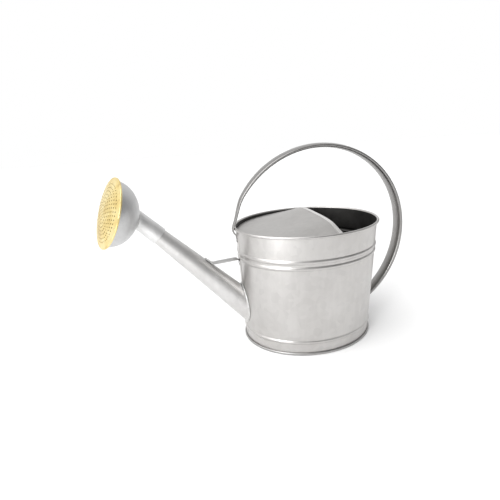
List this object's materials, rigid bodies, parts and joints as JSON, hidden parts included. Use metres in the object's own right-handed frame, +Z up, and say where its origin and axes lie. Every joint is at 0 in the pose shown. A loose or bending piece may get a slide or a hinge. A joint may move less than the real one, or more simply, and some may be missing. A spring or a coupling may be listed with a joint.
{
  "type": "watering can",
  "caption": "Galvanised oval watering can with a half hood, one long arched handle, a braced spout and a removable brass-faced rose.",
  "frame": {"origin": "centre of the oval base, on the ground the foot ring stands on", "axes": "+Z up; the spout and rose point towards -X; +Y is the can's side, across the oval; the handle lies in the XZ plane"},
  "size_m": [0.5797, 0.2274, 0.3657],
  "materials": {
    "galvanised": "satin",
    "brass": "satin",
    "solder": "satin",
    "rubber": "matte"
  },
  "bodies": {
    "can": {"body_shell": "galvanised", "rim_wire": "galvanised", "base_pan": "galvanised", "hood": "galvanised", "spout_tube": "galvanised", "spout_solder": "solder", "brace_strip": "galvanised", "brace_spout_rivet": "galvanised", "brace_body_rivet": "galvanised", "handle_tube": "galvanised", "handle_front_tab": "galvanised", "handle_tab_rivet": "galvanised", "handle_foot": "galvanised", "handle_foot_rivet_1": "galvanised", "handle_foot_rivet_2": "galvanised"},
    "sleeve": {"socket_seal": "rubber"},
    "rose": {"rose_socket": "galvanised", "rose_solder": "solder", "rose_bowl": "galvanised", "rose_face": "brass"}
  },
  "joints": [
    {"name": "rose_pull", "type": "slide", "parent": "can", "child": "sleeve", "axis": [-0.6858, 0, 0.7278], "range_m": [0, 0.06]},
    {"name": "rose_turn", "type": "hinge", "parent": "sleeve", "child": "rose", "pos_m": [-0.28654, 0, 0.24404], "axis": [-0.6858, 0, 0.7278], "continuous": true}
  ]
}
